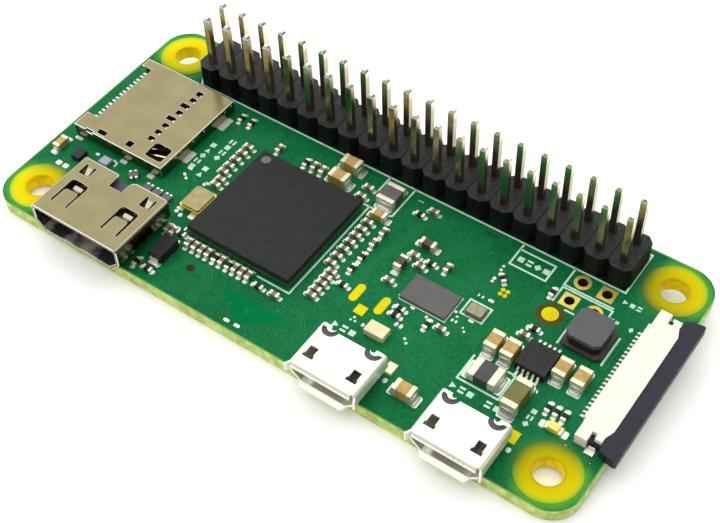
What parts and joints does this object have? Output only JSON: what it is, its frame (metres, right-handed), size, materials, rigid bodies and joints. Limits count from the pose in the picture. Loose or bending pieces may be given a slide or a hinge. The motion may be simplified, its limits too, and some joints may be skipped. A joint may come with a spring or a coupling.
{
  "type": "single board computer",
  "caption": "Small green single board computer with a two-row pin header, card slot, video socket, two small ports and a camera connector with a sliding latch.",
  "frame": {"origin": "centre of the four mounting holes, on the board's underside", "axes": "+X along the board from the card slot to the camera connector, +Y from the ports to the pin header, +Z out of the populated face"},
  "size_m": [0.0659, 0.0313, 0.0115],
  "materials": {
    "solder_mask": "green varnish on laminate",
    "gold_plate": "thin gold plate",
    "black_plastic": "matte",
    "grey_plastic": "matte",
    "solder": "bright solder",
    "satin_steel": "satin",
    "bright_steel": "bright satin",
    "cream_plastic": "matte",
    "latch_plastic": "matte",
    "moulded_resin": "fine matte",
    "grey_resin": "fine matte",
    "white_ceramic": "fine matte",
    "crystal_case": "gold plated",
    "crystal_lid": "satin",
    "ferrite": "sintered",
    "winding": "varnished",
    "tinned": "tinned",
    "fuse_grey": "matte",
    "olive_ceramic": "fired ceramic",
    "grey_ceramic": "fired ceramic",
    "tan_ceramic": "fired ceramic",
    "resistor_black": "glazed",
    "amber_resin": "clear resin"
  },
  "bodies": {
    "board": {"circuit_board": "solder_mask", "mounting_lands": "gold_plate", "service_lands": "gold_plate", "bare_pads": "gold_plate", "header_strip": "black_plastic", "header_pins": "gold_plate", "header_solder": "solder", "card_slot_cover": "satin_steel", "card_slot_base": "black_plastic", "card_slot_contacts": "gold_plate", "card_detect_springs": "gold_plate", "video_shell": "satin_steel", "video_insulator": "grey_plastic", "video_contacts": "gold_plate", "data_shell": "bright_steel", "data_insulator": "black_plastic", "data_contacts": "gold_plate", "power_shell": "bright_steel", "power_insulator": "black_plastic", "power_contacts": "gold_plate", "camera_housing": "cream_plastic", "camera_contacts": "gold_plate", "camera_anchors": "bright_steel", "memory_package": "moulded_resin", "processor_package": "moulded_resin", "package_balls": "solder", "wireless_chip": "grey_resin", "wireless_filter": "white_ceramic", "main_crystal_case": "crystal_case", "main_crystal_lid": "crystal_lid", "wireless_crystal_case": "crystal_case", "wireless_crystal_lid": "crystal_lid", "coil_core": "ferrite", "coil_winding": "winding", "coil_terminals": "tinned", "power_chip": "moulded_resin", "power_chip_leads": "tinned", "input_fuse": "fuse_grey", "input_fuse_ends": "tinned", "bulk_capacitor": "olive_ceramic", "bulk_capacitor_ends": "tinned", "supply_capacitor": "grey_ceramic", "supply_capacitor_ends": "tinned", "large_capacitors": "tan_ceramic", "large_capacitor_ends": "tinned", "medium_capacitors": "tan_ceramic", "medium_capacitor_ends": "tinned", "small_capacitors": "tan_ceramic", "small_capacitor_ends": "tinned", "small_resistors": "resistor_black", "small_resistor_ends": "tinned", "load_switch": "moulded_resin", "diode_package": "moulded_resin", "diode_leads": "tinned", "guard_arrays": "grey_ceramic", "guard_array_ends": "tinned", "status_light": "amber_resin", "status_light_ends": "tinned"},
    "latch": {"camera_latch": "latch_plastic"}
  },
  "joints": [
    {"name": "camera_latch_slide", "type": "slide", "parent": "board", "child": "latch", "axis": [1, 0, 0], "range_m": [0, 0.0008]}
  ]
}
